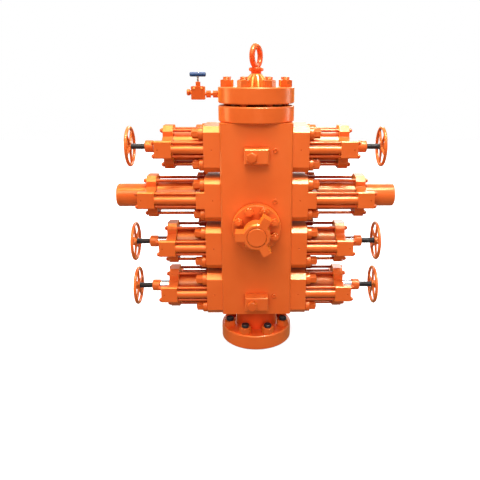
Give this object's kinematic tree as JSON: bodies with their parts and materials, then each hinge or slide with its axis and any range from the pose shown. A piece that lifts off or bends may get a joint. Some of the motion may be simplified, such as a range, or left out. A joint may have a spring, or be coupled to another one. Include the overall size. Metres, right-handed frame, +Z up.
{
  "type": "coiled tubing blowout preventer",
  "caption": "Quad-ram coiled tubing blowout preventer stack: ram body with hydraulic actuators and manual lock handwheels, bottom flange, blind top with lifting eye, side outlet.",
  "frame": {"origin": "centre of the bore at the raised face under the bottom flange", "axes": "+Z up along the bore; the side outlet faces -Y; the ram actuators run along +X and -X"},
  "size_m": [1.199, 0.444, 1.3031],
  "materials": {
    "orange_enamel": "gloss enamel",
    "black_steel": "black oxide",
    "polished_steel": "polished",
    "bare_steel": "machined",
    "blue_paint": "satin paint"
  },
  "bodies": {
    "stack": {"body_block": "orange_enamel", "bottom_flange": "orange_enamel", "bottom_studs": "black_steel", "bottom_nuts": "orange_enamel", "top_flange": "orange_enamel", "blind_flange": "orange_enamel", "top_studs": "orange_enamel", "top_nuts": "orange_enamel", "eye_boss": "orange_enamel", "lifting_eye": "orange_enamel", "side_flange": "orange_enamel", "side_studs": "orange_enamel", "union_hub": "orange_enamel", "wing_nut": "orange_enamel", "union_plug": "orange_enamel", "upper_port_block": "orange_enamel", "lower_port_block": "orange_enamel", "port_plugs": "orange_enamel", "bonnets_row_1": "orange_enamel", "bonnets_row_2": "orange_enamel", "bonnets_row_3": "orange_enamel", "bonnets_row_4": "orange_enamel", "bonnet_nuts": "orange_enamel", "ram_cylinders": "orange_enamel", "transfer_tubes": "orange_enamel", "tie_rods": "orange_enamel", "end_caps_row_1": "orange_enamel", "end_caps_row_2": "orange_enamel", "end_caps_row_3": "orange_enamel", "end_caps_row_4": "orange_enamel", "tail_cylinders": "orange_enamel", "lock_sleeves": "polished_steel", "lock_collars": "orange_enamel", "valve_nipple": "orange_enamel", "valve_body": "orange_enamel", "valve_end_plug": "orange_enamel", "valve_gland": "orange_enamel"},
    "lock_screw_left_1": {"lock_screw_left_1": "black_steel"},
    "handwheel_left_1": {"handwheel_left_1": "orange_enamel"},
    "lock_screw_left_3": {"lock_screw_left_3": "black_steel"},
    "handwheel_left_3": {"handwheel_left_3": "orange_enamel"},
    "lock_screw_left_4": {"lock_screw_left_4": "black_steel"},
    "handwheel_left_4": {"handwheel_left_4": "orange_enamel"},
    "lock_screw_right_1": {"lock_screw_right_1": "black_steel"},
    "handwheel_right_1": {"handwheel_right_1": "orange_enamel"},
    "lock_screw_right_3": {"lock_screw_right_3": "black_steel"},
    "handwheel_right_3": {"handwheel_right_3": "orange_enamel"},
    "lock_screw_right_4": {"lock_screw_right_4": "black_steel"},
    "handwheel_right_4": {"handwheel_right_4": "orange_enamel"},
    "valve_stem": {"valve_stem": "bare_steel"},
    "tee_handle": {"tee_handle": "blue_paint"}
  },
  "joints": [
    {"name": "lock_left_1_advance", "type": "slide", "parent": "stack", "child": "lock_screw_left_1", "axis": [1, 0, 0], "range_m": [0, 0.0451]},
    {"name": "lock_left_1_turn", "type": "hinge", "parent": "lock_screw_left_1", "child": "handwheel_left_1", "pos_m": [-0.5355, 0, 0.8825], "axis": [1, 0, 0], "range_deg": [0, 3240]},
    {"name": "lock_left_3_advance", "type": "slide", "parent": "stack", "child": "lock_screw_left_3", "axis": [1, 0, 0], "range_m": [0, 0.0451]},
    {"name": "lock_left_3_turn", "type": "hinge", "parent": "lock_screw_left_3", "child": "handwheel_left_3", "pos_m": [-0.5355, 0, 0.4595], "axis": [1, 0, 0], "range_deg": [0, 3240]},
    {"name": "lock_left_4_advance", "type": "slide", "parent": "stack", "child": "lock_screw_left_4", "axis": [1, 0, 0], "range_m": [0, 0.0451]},
    {"name": "lock_left_4_turn", "type": "hinge", "parent": "lock_screw_left_4", "child": "handwheel_left_4", "pos_m": [-0.5355, 0, 0.248], "axis": [1, 0, 0], "range_deg": [0, 3240]},
    {"name": "lock_right_1_advance", "type": "slide", "parent": "stack", "child": "lock_screw_right_1", "axis": [-1, 0, 0], "range_m": [0, 0.0451]},
    {"name": "lock_right_1_turn", "type": "hinge", "parent": "lock_screw_right_1", "child": "handwheel_right_1", "pos_m": [0.5355, 0, 0.8825], "axis": [-1, 0, 0], "range_deg": [0, 3240]},
    {"name": "lock_right_3_advance", "type": "slide", "parent": "stack", "child": "lock_screw_right_3", "axis": [-1, 0, 0], "range_m": [0, 0.0451]},
    {"name": "lock_right_3_turn", "type": "hinge", "parent": "lock_screw_right_3", "child": "handwheel_right_3", "pos_m": [0.5355, 0, 0.4595], "axis": [-1, 0, 0], "range_deg": [0, 3240]},
    {"name": "lock_right_4_advance", "type": "slide", "parent": "stack", "child": "lock_screw_right_4", "axis": [-1, 0, 0], "range_m": [0, 0.0451]},
    {"name": "lock_right_4_turn", "type": "hinge", "parent": "lock_screw_right_4", "child": "handwheel_right_4", "pos_m": [0.5355, 0, 0.248], "axis": [-1, 0, 0], "range_deg": [0, 3240]},
    {"name": "valve_stem_lift", "type": "slide", "parent": "stack", "child": "valve_stem", "axis": [0, 0, 1], "range_m": [0, 0.0061]},
    {"name": "valve_handle_turn", "type": "hinge", "parent": "valve_stem", "child": "tee_handle", "pos_m": [-0.24, 0, 1.1785], "axis": [0, 0, 1], "range_deg": [0, 1440]}
  ],
  "couplings": [
    {"joint": "lock_left_1_advance", "follows": "lock_left_1_turn", "m_per_rad": 0.00079577},
    {"joint": "lock_left_3_advance", "follows": "lock_left_3_turn", "m_per_rad": 0.00079577},
    {"joint": "lock_left_4_advance", "follows": "lock_left_4_turn", "m_per_rad": 0.00079577},
    {"joint": "lock_right_1_advance", "follows": "lock_right_1_turn", "m_per_rad": 0.00079577},
    {"joint": "lock_right_3_advance", "follows": "lock_right_3_turn", "m_per_rad": 0.00079577},
    {"joint": "lock_right_4_advance", "follows": "lock_right_4_turn", "m_per_rad": 0.00079577},
    {"joint": "valve_stem_lift", "follows": "valve_handle_turn", "m_per_rad": 0.00023873}
  ]
}
